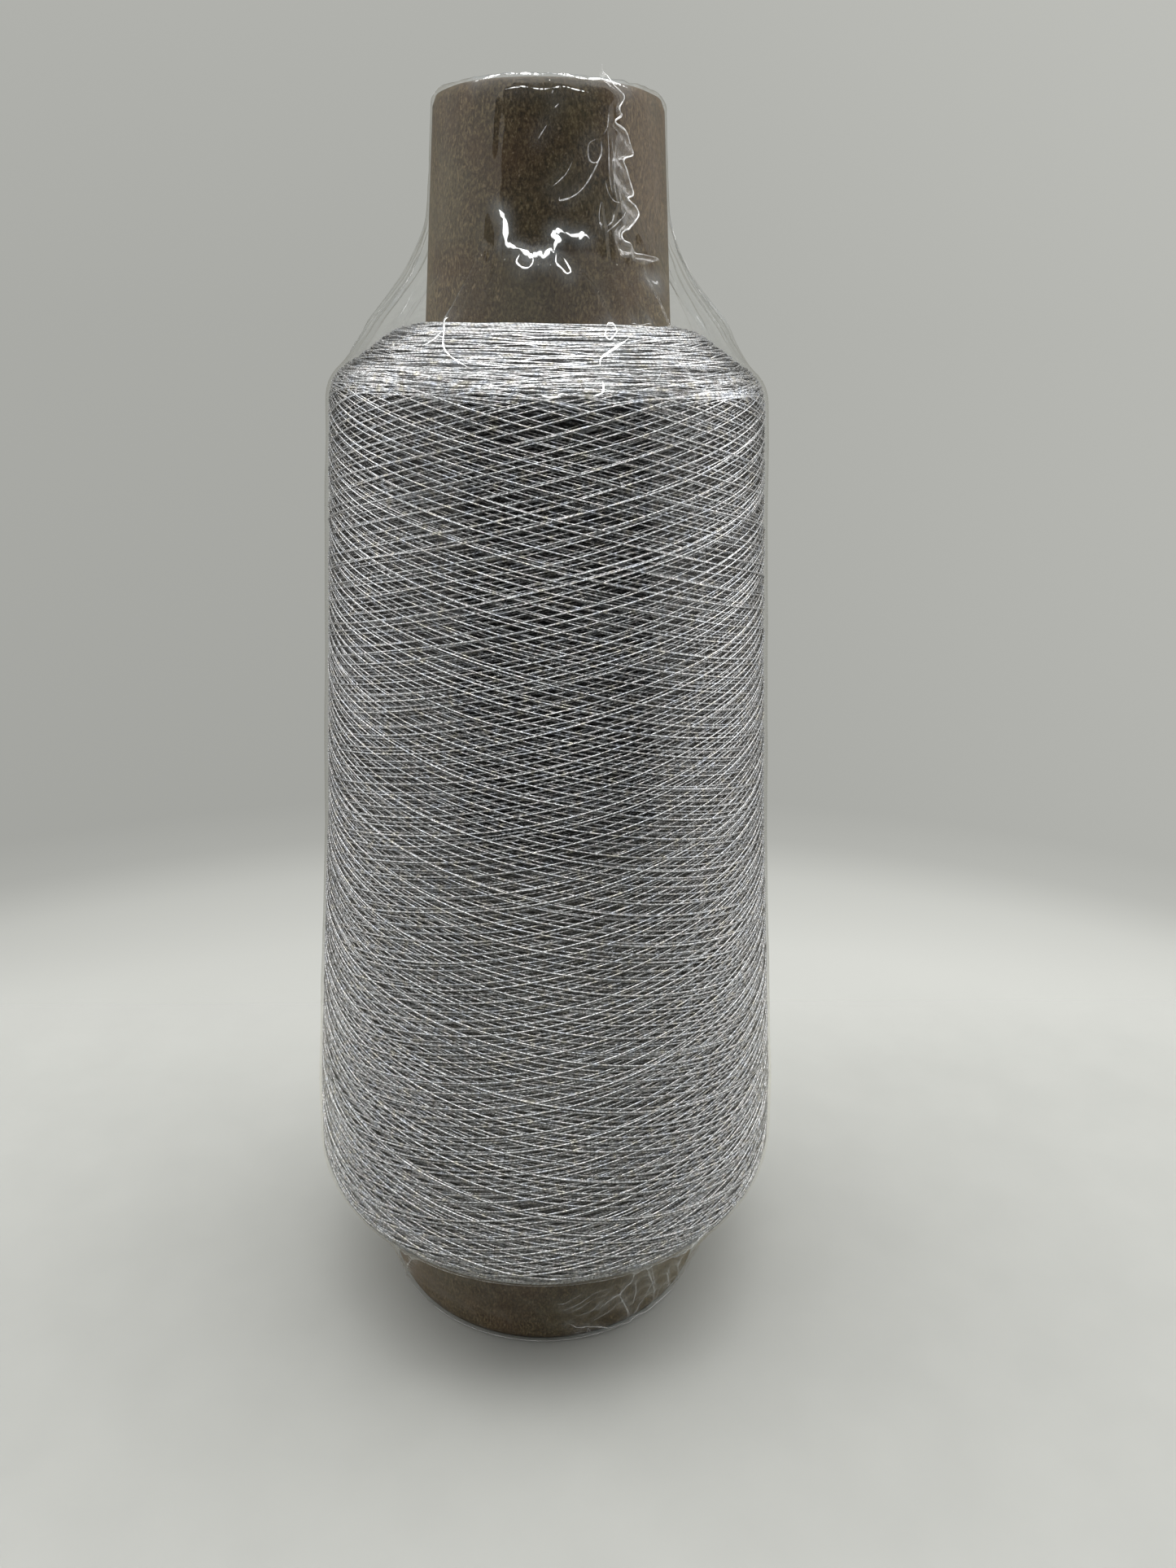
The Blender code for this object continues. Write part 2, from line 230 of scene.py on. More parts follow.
HEM_CREASES = (
    (0.13, 0.1, ((7.5, 6.5), (9.5, 5.5), (12, 4.8), (14, 4.2), (16, 3.8), (18.5, 3.2), (21.5, 2.2),
        (25, 1.9))),
    (0.12, 0.05, ((25, 1.9), (28, 1), (33, 1.6), (38, 1.1), (44, 1.8), (50, 1.2))),
    (0.1, 0.05, ((8.8, 3.4), (10.2, 3.5), (11.5, 1.8), (13.6, 2), (14.1, 3.5), (15.6, 1.1), (18, 0.8),
        (20.4, 1.6))),
)
NOSE_DISC, LIP_HEIGHT = 17.5, 0.3  # the film's side starts outside one and ends above the other
FOLD_WIDTH = 3.2  # of a foot fold, in widths of its bead
CREASE_MILK, FOOT_MILK = 2.0, 0.9  # haze beside a crease, by its half width
THINNEST = 0.03  # a crease below this is only a ridge
BEAD_SIDES, BEAD_CAPS = 6, np.array([[[0, 1, 2, 3], [0, 3, 4, 5]]] * 2)
SEAL_EDGE = (
    (26, 231), (26.7, 230), (29.7, 228.6), (33.9, 227.6), (32, 226.1), (32.7, 225), (29.8, 224.1),
    (34.2, 223.1), (36.9, 221.6), (39, 220.1), (33.5, 219.3), (36.1, 217.4), (38.8, 214.8), (35.4, 214),
    (39.3, 213.1), (41.3, 211.9), (38, 210.6), (32.5, 209), (33, 207.5), (36.6, 206.3), (42.4, 205.9),
    (47, 205.2),
)
SEAL_FOLD = (
    (25, 230.5), (26, 229.3), (28.5, 228.1), (32, 227.2), (31, 226), (31.5, 224.8), (29, 223.8),
    (31, 222.9), (30, 221.5), (29.5, 220), (28, 218.8), (28.5, 217), (31, 215.2), (31.5, 214.2),
    (32, 212.8), (33.5, 211.5), (31, 210.2), (28.5, 209), (29, 207.2), (31, 205.6), (36.5, 205.3),
    (41, 204.8),
)
FILM_GLOSS, FILM_HAZE, TENT_HAZE = 0.07, 0.003, 0.010  # seen straight on, clinging to the cone
FILM_EDGE_GLOSS, FILM_ROUGHNESS, EDGE_MILK = 0.38, 0.04, 5.0  # towards its outline
SEAL_SIDE = 37.0  # degrees right of the front, where the seal runs down the yarn
SEAL_WANDER = 2.0


# ---- frame helpers


def outline(node, outer=True, step=0.02):
    """A turned CAD node's outer or inner side as radii and heights in mm, from its top to its bottom."""
    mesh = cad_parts[node].data
    points = np.array([v.co for v in mesh.vertices]) / MM
    ends = points[np.array([e.vertices[:] for e in mesh.edges])]
    ends = ends[(np.abs(ends[:, :, 1]) < 0.01).all(1) & (ends[:, :, 0] > 0).all(1)]
    edges = ends[np.abs(ends[:, 0, 2] - ends[:, 1, 2]) > 1e-4][:, :, [0, 2]]
    low, high = edges[:, :, 1].min(1), edges[:, :, 1].max(1)
    heights = np.arange(high.max() - 1e-3, low.min() + 1e-3, -step)
    share = (heights[:, None] - edges[:, 0, 1]) / (edges[:, 1, 1] - edges[:, 0, 1])
    radii = edges[:, 0, 0] + share * (edges[:, 1, 0] - edges[:, 0, 0])
    crossed = (heights[:, None] >= low) & (heights[:, None] <= high)
    if outer:
        return np.where(crossed, radii, -1).max(1), heights
    return np.where(crossed, radii, 1e9).min(1), heights


def resampled(radii, heights, step, smooth=0.0):
    """A path at even steps of its own length, optionally with its corners eased."""
    length = np.concatenate([[0], np.cumsum(np.hypot(np.diff(radii), np.diff(heights)))])
    even = np.linspace(0, length[-1], int(length[-1] / step) + 1)
    r, z = np.interp(even, length, radii), np.interp(even, length, heights)
    if smooth:
        reach = int(3 * smooth / step)
        kernel = np.exp(-0.5 * (np.arange(-reach, reach + 1) * step / smooth) ** 2)
        kernel /= kernel.sum()
        ends = {"mode": "reflect", "reflect_type": "odd"}
        r, z = (np.convolve(np.pad(v, reach, **ends), kernel, "valid") for v in (r, z))
    return r, z


class Skin:
    """A surface of revolution: turns (angle, distance down the side, depth) into points."""

    def __init__(self, radii, heights, step=0.1, smooth=0.5):
        self.r, self.z = resampled(radii, heights, step, smooth)
        self.s = np.concatenate([[0], np.cumsum(np.hypot(np.diff(self.r), np.diff(self.z)))])
        along_r, along_z = np.gradient(self.r, self.s), np.gradient(self.z, self.s)
        size = np.hypot(along_r, along_z)
        self.nr, self.nz = -along_z / size, along_r / size
        self.length = self.s[-1]

    def radius(self, s):
        return np.interp(s, self.s, self.r)

    def height(self, s):
        return np.interp(s, self.s, self.z)

    def where(self, height):
        """The distance down the side at which a height is reached."""
        return float(np.interp(-height, -self.z, self.s))

    def normal(self, angle, s):
        nr, nz = np.interp(s, self.s, self.nr), np.interp(s, self.s, self.nz)
        return np.stack([nr * np.cos(angle), nr * np.sin(angle), nz], -1)

    def point(self, angle, s, depth):
        r, z = self.radius(s), self.height(s)
        surface = np.stack([r * np.cos(angle), r * np.sin(angle), z], -1)
        return surface - self.normal(angle, s) * np.asarray(depth)[..., None]


# ---- mesh helpers


def rise(value, low, high):
    """0 below low, 1 above high, smooth between."""
    t = np.clip((value - low) / (high - low), 0, 1)
    return t * t * (3 - 2 * t)


def band(value, low, start, end, high):
    """1 from start to end, easing to 0 at low and at high."""
    return rise(value, low, start) * (1 - rise(value, end, high))


def hump(away, width):
    """1 where away is 0, falling to 0 on both sides."""
    return np.exp(-((away / width) ** 2))


def mesh_piece(name, points, faces, material, slot, stands_for, uv=None):
    """A smooth-shaded piece from points in mm and faces of one size, riding on the only body."""
    points, faces = np.asarray(points, float) * MM, np.asarray(faces, np.int32)
    mesh = bpy.data.meshes.new(name)
    mesh.vertices.add(len(points))
    mesh.vertices.foreach_set("co", points.astype(np.float32).ravel())
    sides = faces.shape[1]
    mesh.loops.add(faces.size)
    mesh.loops.foreach_set("vertex_index", faces.ravel())
    mesh.polygons.add(len(faces))
    mesh.polygons.foreach_set("loop_start", np.arange(len(faces), dtype=np.int32) * sides)
    if uv is not None:
        layer = mesh.uv_layers.new(name="strand")
        layer.data.foreach_set("uv", np.asarray(uv, np.float32)[faces.ravel()].ravel())
    mesh.update(calc_edges=True)
    mesh.shade_smooth()
    obj = bpy.data.objects.new(name, mesh)
    bpy.context.scene.collection.objects.link(obj)
    mesh.materials.append(material)
    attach(obj, "root")
    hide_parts(stands_for)
    return obj


def grid_faces(rows, columns, wrap_rows=False, wrap_columns=True):
    """Quads over a grid of points stored row by row."""
    i = np.arange(rows if wrap_rows else rows - 1)
    j = np.arange(columns if wrap_columns else columns - 1)
    a, b = np.meshgrid(i, j, indexing="ij")
    down, right = (a + 1) % rows, (b + 1) % columns
    quads = np.stack([a * columns + b, down * columns + b, down * columns + right, a * columns + right], -1)
    return quads.reshape(-1, 4)


def turned_piece(name, radii, heights, columns, **piece):
    """A closed profile turned round the axis."""
    angle = np.arange(columns) * TAU / columns
    r, z = radii[:, None], heights[:, None]
    points = np.stack([r * np.cos(angle), r * np.sin(angle), z + 0 * angle], -1).reshape(-1, 3)
    return mesh_piece(name, points, grid_faces(len(radii), columns, wrap_rows=True), **piece)


def mark(obj, quality, values):
    """Keeps a number at each vertex, for the material."""
    attribute = obj.data.attributes.new(quality, "FLOAT", "POINT")
    attribute.data.foreach_set("value", np.asarray(values, np.float32).ravel())


def beside(centre, normal):
    """At each place of a line on a surface, the directions across the line and up from the surface."""
    along = np.gradient(centre, axis=0)
    along /= np.linalg.norm(along, axis=1, keepdims=True) + TINY
    across = np.cross(along, normal)
    across /= np.linalg.norm(across, axis=1, keepdims=True) + TINY
    return across, np.cross(across, along)


def ringed_piece(name, rows, caps, **piece):
    """One mesh of many threads, each a row of rings of points, closed by the caps."""
    faces, offset = [], 0
    for rings in rows:
        count, sides, _ = rings.shape
        first, last = offset + np.arange(count - 1)[:, None] * sides, offset + (count - 1) * sides
        a, b = first + np.arange(sides), first + (np.arange(sides) + 1) % sides
        quads = np.stack([a, b, b + sides, a + sides], -1).reshape(-1, 4)
        faces += [quads, caps[0] + offset, caps[1] + last]
        offset += count * sides
    points = np.concatenate([rings.reshape(-1, 3) for rings in rows])
    return mesh_piece(name, points, np.concatenate(faces), **piece)


def tubes(name, strands, **piece):
    """Round-shaded threads. Each strand is (centre points, surface normals, how deep it lies)."""
    rows, all_uv, all_lie = [], [], []
    for number, (centre, normal, lie) in enumerate(strands):
        side, up = beside(centre, normal)
        bundle = 1 + BUNDLE_SHARE * rise(-centre[:, 2:], -BUNDLE_HIGH, -BUNDLE_LOW)
        rows.append(np.stack([centre + STRAND_RADIUS * (bundle * d) for d in (up, side, -up, -side)], 1))
        length = np.concatenate([[0], np.cumsum(np.linalg.norm(np.diff(centre, axis=0), axis=1))])
        uv = np.empty((len(centre), 4, 2))
        uv[:, :, 0], uv[:, :, 1] = length[:, None], number + np.arange(4) / 4
        all_uv.append(uv.reshape(-1, 2))
        all_lie.append(np.full(4 * len(centre), lie))
    obj = ringed_piece(name, rows, THREAD_CAPS, uv=np.concatenate(all_uv), **piece)
    mark(obj, "lie", np.concatenate(all_lie))


# ---- material helpers


class Graph:
    """Short names for building a material's or a world's nodes."""

    def __init__(self, tree):
        self.tree = tree
        tree.nodes.clear()

    def put(self, socket, value):
        if isinstance(value, bpy.types.NodeSocket):
            self.tree.links.new(value, socket)
        else:
            socket.default_value = value

    def add(self, kind, inputs=None, **settings):
        node = self.tree.nodes.new("ShaderNode" + kind)
        for key, value in settings.items():
            setattr(node, key, value)
        for key, value in (inputs or {}).items():
            self.put(node.inputs[key], value)
        return node

    def out(self, kind, inputs=None, **settings):
        return self.add(kind, inputs, **settings).outputs[0]

    def math(self, operation, *values):
        return self.out("Math", dict(enumerate(values)), operation=operation)

    def times(self, a, b):
        return self.math("MULTIPLY", a, b)

    def plus(self, a, b):
        return self.math("ADD", a, b)

    def place(self):
        return self.add("TexCoord").outputs["Object"]

    def axes(self, vector):
        return self.add("SeparateXYZ", {0: vector}).outputs

    def quality(self, name):
        """A number that the mesh holds at each vertex."""
        return self.add("Attribute", attribute_name=name).outputs["Fac"]

    def ramp(self, factor, *stops):
        """A colour ramp through (position, grey or colour) stops."""
        node = self.add("ValToRGB", {0: factor})
        elements = node.color_ramp.elements
        while len(elements) < len(stops):
            elements.new(1.0)
        for element, (position, colour) in zip(elements, stops):
            element.position = position
            rgb = (colour,) * 3 if isinstance(colour, (int, float)) else colour
            element.color = (*rgb, 1.0)
        return node.outputs[0]

    def step(self, value, start, end):
        """0 before start, 1 after end, smooth between."""
        limits = {"Value": value, "From Min": start, "From Max": end}
        return self.out("MapRange", limits, interpolation_type="SMOOTHSTEP")

    def noise(self, vector, scale, detail=2.0, roughness=0.5, **settings):
        inputs = {"Vector": vector, "Scale": scale, "Detail": detail, "Roughness": roughness}
        return self.out("TexNoise", inputs, **settings)

    def bump(self, strength, distance, height):
        return self.out("Bump", {"Strength": strength, "Distance": distance, "Height": height})

    def mix(self, factor, a, b, blend="MIX"):
        """Colour a, turned into colour b by the factor."""
        node = self.add("Mix", data_type="RGBA", blend_type=blend)
        self.put(node.inputs[0], factor)
        for socket, colour in zip((node.inputs[6], node.inputs[7]), (a, b)):
            self.put(socket, (*colour, 1.0) if isinstance(colour, tuple) else colour)
        return node.outputs[2]

    def blend(self, share, a, b):
        """Shader a, with this share of shader b."""
        return self.out("MixShader", {0: share, 1: a, 2: b})

    def end(self, shader, kind="OutputMaterial"):
        self.add(kind, {"Surface": shader})


def new_material(name):
    material = bpy.data.materials.new(name)
    material.use_nodes = True
    return material, Graph(material.node_tree)


def kraft_board():
    """Rolled kraft board: brown, darkened as painted shade, mottled, with fine fibres that run up the cone.
    """
    material, g = new_material("kraft_board")
    place = g.place()
    stretched = g.out("Mapping", {"Vector": place, "Scale": (1.0, 1.0, BOARD_STRETCH)})
    fibre = g.noise(stretched, FIBRES, 5.0, 0.85)
    cloud = g.noise(place, CLOUDS, 4.0, 0.65)
    patch = g.noise(place, PATCHES, 3.0, 0.6)
    speck = g.noise(stretched, SPECKS, 2.0, 0.7)
    tone = g.ramp(fibre, (0.38, FIBRE_DARK), (0.5, BOARD_BROWN), (0.62, FIBRE_LIGHT))
    for share, where, colour in (
        (0.4, g.step(cloud, 0.44, 0.62), BOARD_SHADE),
        (0.3, g.step(patch, 0.45, 0.6), BOARD_GREEN),
        (0.25, g.step(patch, 0.5, 0.36), BOARD_RED),
        (0.5, g.step(speck, 0.62, 0.72), SPECK_LIGHT),
    ):
        tone = g.mix(g.times(where, share), tone, colour)
    height = g.plus(g.times(fibre, 0.7), g.times(cloud, 0.3))
    board = {
        "Base Color": tone, "Roughness": g.ramp(speck, (0.3, 0.72), (0.7, 0.9)),
        "Normal": g.bump(0.5, BOARD_RELIEF, height), "Specular IOR Level": 0.12,
    }
    g.end(g.out("BsdfPrincipled", board))
    return material


def metallic_yarn():
    """Metallised thread: bright, with painted glints at every turn of its twist, painted sparkle along it,
    painted shade where it lies deeper and towards the foot, and faint colours.
    """
    material, g = new_material("metallic_yarn")
    place = g.place()
    length = g.axes(g.out("UVMap", uv_map="strand"))[0]
    wander = g.noise(place, TWIST_WANDER, 1.0)
    twist = g.math("SINE", g.plus(g.times(length, TAU / TWIST), g.times(wander, 30.0)))
    grain = g.noise(place, THREAD_GRAIN, 2.0, 0.6)
    tint = g.ramp(g.noise(place, TINTS, 1.0), *THREAD_TINTS)
    up = g.axes(place)[2]
    # Painted glints: the thread's colour brightens at every turn of its twist, where the ribbon would face
    # the light.
    painted_light = g.ramp(g.plus(g.times(twist, 0.5), 0.5), (0.0, 0.55), (0.6, 0.95), (1.0, 1.0))
    # Painted sparkle: the glints come and go along the thread.
    painted_sparkle = g.ramp(g.noise(place, GLINTS, 2.0, 0.65), (0.42, 0.62), (0.55, 1.0))
    # Painted shade: the yarn's colour darkens towards the foot.
    low = g.plus(g.times(g.step(up, *FOOT_SHADE_SPAN), 1 - PAINTED_FOOT_SHADE), PAINTED_FOOT_SHADE)
    # Painted shade: strands that lie under others are darker, and more so lower down.
    lie = g.plus(g.quality("lie"), g.times(g.step(up, *DEEP_SHADE_BELOW), 0.12))
    deep = g.ramp(lie, (0.22, 1.0), (0.45, 0.66), (0.9, 0.3))
    painted_light = g.mix(1.0, g.times(g.times(painted_light, low), painted_sparkle), deep, "MULTIPLY")
    height = g.plus(g.times(twist, 0.5), g.times(grain, 1.2))
    thread = {
        "Base Color": g.mix(1.0, tint, painted_light, "MULTIPLY"), "Metallic": 0.92,
        "Roughness": g.ramp(grain, (0.35, 0.26), (0.7, 0.38)), "Normal": g.bump(0.5, THREAD_RELIEF, height),
    }
    g.end(g.out("BsdfPrincipled", thread))
    return material


def shaded_packed_yarn():
    """The deeper yarn between the strands: dark as painted shade, for the strands over it, with a fine
    criss-cross.
    """
    material, g = new_material("shaded_packed_yarn")
    flat = g.out("Mapping", {"Vector": g.place(), "Scale": (BED_STRETCH, BED_STRETCH, 1.0)})
    lines = g.noise(flat, BED_LINES)
    tone = g.ramp(lines, (0.4, BED_DARK), (0.62, BED_LIGHT))
    bed = {"Base Color": tone, "Metallic": 0.6, "Roughness": 0.45, "Normal": g.bump(0.8, BED_RELIEF, lines)}
    g.end(g.out("BsdfPrincipled", bed))
    return material


def clear_film():
    """Clear film: see-through, glossy towards its outline, milky beside its creases."""
    material, g = new_material("clear_film")
    place = g.place()
    crumple = g.noise(place, CRUMPLES, 3.0, 0.55, noise_type="RIDGED_MULTIFRACTAL", normalize=True)
    normal = g.bump(0.3, FILM_RELIEF, g.plus(g.times(crumple, 0.25), g.noise(place, SWELLS, 1.0)))
    facing = g.add("LayerWeight", {"Blend": 0.5, "Normal": normal}).outputs["Facing"]
    grazing = g.times(g.math("POWER", facing, 5.0), FILM_EDGE_GLOSS)
    mirror = g.plus(grazing, g.times(g.quality("cling"), FILM_GLOSS))
    haze = g.plus(g.times(g.quality("haze"), g.times(g.noise(place, HAZE_CLOUDS, 2.0, 0.6), 0.9)), FILM_HAZE)
    haze = g.times(haze, g.plus(1.0, g.times(g.math("POWER", facing, 3.0), EDGE_MILK)))
    gloss = g.out("BsdfGlossy", {"Color": GLOSS_WARM, "Roughness": FILM_ROUGHNESS, "Normal": normal})
    clear = g.out("BsdfTransparent", {"Color": FILM_TINT})
    milk = g.out("BsdfDiffuse", {"Color": MILK_COOL})
    g.end(g.blend(mirror, g.blend(haze, clear, milk), gloss))
    return material


def gathered_film(name, cover, roughness, painted_glow, gaps, shut, thinnest):
    """Film gathered into a bead or a weld: white partly from its own folds and partly as painted highlight,
    glossy, partly see-through.
    """
    material, g = new_material(name)
    fold = g.noise(g.place(), gaps, 3.0, 0.6)
    normal = g.bump(0.6, BEAD_RELIEF, fold)
    white = g.out("BsdfDiffuse", {"Color": BEAD_WHITE, "Normal": normal})
    gloss = g.out("BsdfGlossy", {"Color": WHITE, "Roughness": roughness, "Normal": normal})
    lit = g.blend(0.35, white, gloss)
    # Painted glint: the brightest beads glow, for the lamps caught in their folds.
    if painted_glow:
        painted_glint = g.out("Emission", {"Color": WHITE, "Strength": painted_glow})
        lit = g.out("AddShader", {0: lit, 1: painted_glint})
    solid = g.times(g.ramp(fold, (shut, thinnest), (0.55, 1.0)), cover)
    g.end(g.blend(solid, g.out("BsdfTransparent"), lit))
    return material


# ---- pieces


def make_cone(board):
    """The board cone: outer side, nose, bore and foot in one closed turned mesh."""
    out_r, out_z = resampled(*outline("core_cone"), CONE_STEP)
    in_r, in_z = resampled(*outline("core_cone", outer=False), CONE_STEP)
    r, z = np.concatenate([out_r, in_r[::-1]]), np.concatenate([out_z, in_z[::-1]])
    turned_piece("board_cone", r, z, CONE_COLUMNS, material=board, slot="kraft_board", stands_for="core_cone")


def traverse(skin, rng, down, depth, start):
    """One strand from one end of the winding to the other, tucked under at both turns."""
    slope = WIND_ADVANCE / TAU * rng.uniform(0.991, 1.009)
    edge_top = skin.where(skin.z[0] - TURN_BELOW_TOP) - 1.2 * depth + rng.uniform(-3, 2)
    edge_bottom = skin.where(skin.z[-1] + TURN_ABOVE_FOOT) + 1.2 * depth + rng.uniform(-2, 3)
    run = (edge_bottom - edge_top) / slope + TURN_ANGLE
    middle_radius = float(skin.radius(skin.length / 2))
    x = np.linspace(-TAIL, run + TAIL, int((run + 2 * TAIL) * middle_radius / SEGMENT))

    def turned_back(turned):
        early = slope * turned**2 / (2 * TURN_ANGLE)
        return np.where(turned < TURN_ANGLE, early, slope * (turned - TURN_ANGLE / 2))

    s = np.where(x < run / 2, edge_top + turned_back(x), edge_bottom - turned_back(run - x))
    for _ in range(3):
        s = s + rng.uniform(0.03, 0.13) * np.sin(x * rng.uniform(2, 8) + rng.uniform(0, TAU))
    s = np.clip(s, 0.1, skin.length - 0.1)
    shift = ((edge_top + edge_bottom) / 2 - skin.length / 2) / slope
    angle = start + (1 if down else -1) * (x - run / 2 + shift)
    inside = np.minimum(x, run - x)
    ease = np.clip(inside / EASE_ANGLE, 0, 1)
    tucked = TUCK_DEPTH * np.clip(-inside / TAIL, 0, 1) ** 1.5
    lies = TURN_DEPTH + (depth - TURN_DEPTH) * ease * ease * (3 - 2 * ease) + tucked
    dive = 1 + np.sin(x * rng.uniform(4, 9) + rng.uniform(0, TAU))
    lies = lies + min(DIVE, depth / 2) * dive * ease
    return skin.point(angle, s, lies), skin.normal(angle, s), depth


def shoulder_arcs(skin, rng, first, last, outward):
    """Long arcs where strands turn back: nearly level rows that cover a shoulder."""
    arcs = []
    for s0 in np.arange(first, last, ROW_STEP):
        around = TAU * float(skin.radius(s0))
        count = max(4, int(around / ARC_SPACING))
        spin = rng.uniform(0, TAU)
        for k in range(count):
            half = rng.uniform(0.6, 1) * ARC_SPACING
            x = np.linspace(-half, half, 17)
            bow = rng.uniform(110, 260)
            s = s0 + rng.uniform(-0.3, 0.3) + outward * x**2 / (2 * bow) + rng.uniform(-0.02, 0.02) * x
            s = s + rng.uniform(0.04, 0.2) * np.sin(x / rng.uniform(1.6, 5) + rng.uniform(0, TAU))
            s = np.clip(s, 0.05, skin.length - 0.05)
            angle = spin + TAU * (k + rng.uniform(-0.4, 0.4)) / count + x / skin.radius(s)
            lie = rng.uniform(0, 1)
            depth = 0.14 + 0.5 * lie + 0.5 * np.abs(x / half) ** 4
            arcs.append((skin.point(angle, s, depth), skin.normal(angle, s), 0.15 + 0.55 * lie))
    return arcs


def make_yarn(skin, material, bed_material):
    """The criss-cross strands, the turns round both shoulders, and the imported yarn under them."""
    rng = np.random.default_rng(7)
    wound = dict(material=material, slot="metallic_yarn", stands_for="yarn_winding")
    strands = []
    for k in range(TRAVERSES):
        depth = TOP_DEPTH + (DEEPEST - TOP_DEPTH) * k / TRAVERSES
        start = TAU * (k // 2 * GOLDEN + k % 2 * BACKWARD_START + rng.uniform(-0.007, 0.007))
        strands.append(traverse(skin, rng, k % 2 == 0, depth, start))
    for number, first in enumerate(range(0, TRAVERSES, PIECE_STRANDS), 1):
        tubes(f"yarn_strands_{number}", strands[first : first + PIECE_STRANDS], **wound)
    upper_end = skin.where(skin.z[0] - UPPER_SHOULDER)
    lower_start = skin.where(skin.z[-1] + LOWER_SHOULDER)
    for name, first, last, outward in (
        ("yarn_upper_shoulder", 0.2, upper_end, 1),
        ("yarn_lower_shoulder", lower_start, skin.length - 0.2, -1),
    ):
        tubes(name, shoulder_arcs(skin, rng, first, last, outward), **wound)

    s = np.linspace(0.3, skin.length - 0.3, BED_ROWS)
    ends = np.clip(np.minimum(s, skin.length - s) / BED_EASE, 0, 1)
    depth = BED_END_DEPTH + (BED_DEPTH - BED_END_DEPTH) * ends**1.5
    rings = skin.point(np.zeros_like(s), s, depth)
    r, z = rings[:, 0], rings[:, 2]
    inner_r, inner_z = resampled(*outline("yarn_winding", outer=False), BED_INNER_STEP)
    inside = (inner_z < z.max() - 0.3) & (inner_z > z.min() + 0.3)
    r = np.concatenate([r, inner_r[inside][::-1]])
    z = np.concatenate([z, inner_z[inside][::-1]])
    turned_piece("yarn_bed", r, z, BED_COLUMNS, **(wound | {"material": bed_material}))


def smooth_line(places):
    """A curve through a few (degrees, height) places, eight points from one to the next."""
    p = np.array(places, float)
    p = np.concatenate([2 * p[:1] - p[1:2], p, 2 * p[-1:] - p[-2:-1]])
    t = np.arange(0, len(places) - 1, 0.125)
    k, u = t.astype(int), (t % 1)[:, None]
    a, b, c, d = (p[k + i] for i in range(4))
    curve = 0.5 * (2 * b + (c - a) * u + (2 * a - 5 * b + 4 * c - d) * u**2 + (3 * b - a - 3 * c + d) * u**3)
    return np.concatenate([curve, p[-2:-1]])


def grain(points, size, seed):
    """Perlin noise of about -0.5 to 0.5 over points in mm, with features of the given size."""
    flat = np.asarray(points).reshape(-1, 3) / size + 17.3 * seed
    return np.array([noise.noise(p) for p in flat.tolist()]).reshape(points.shape[:-1])


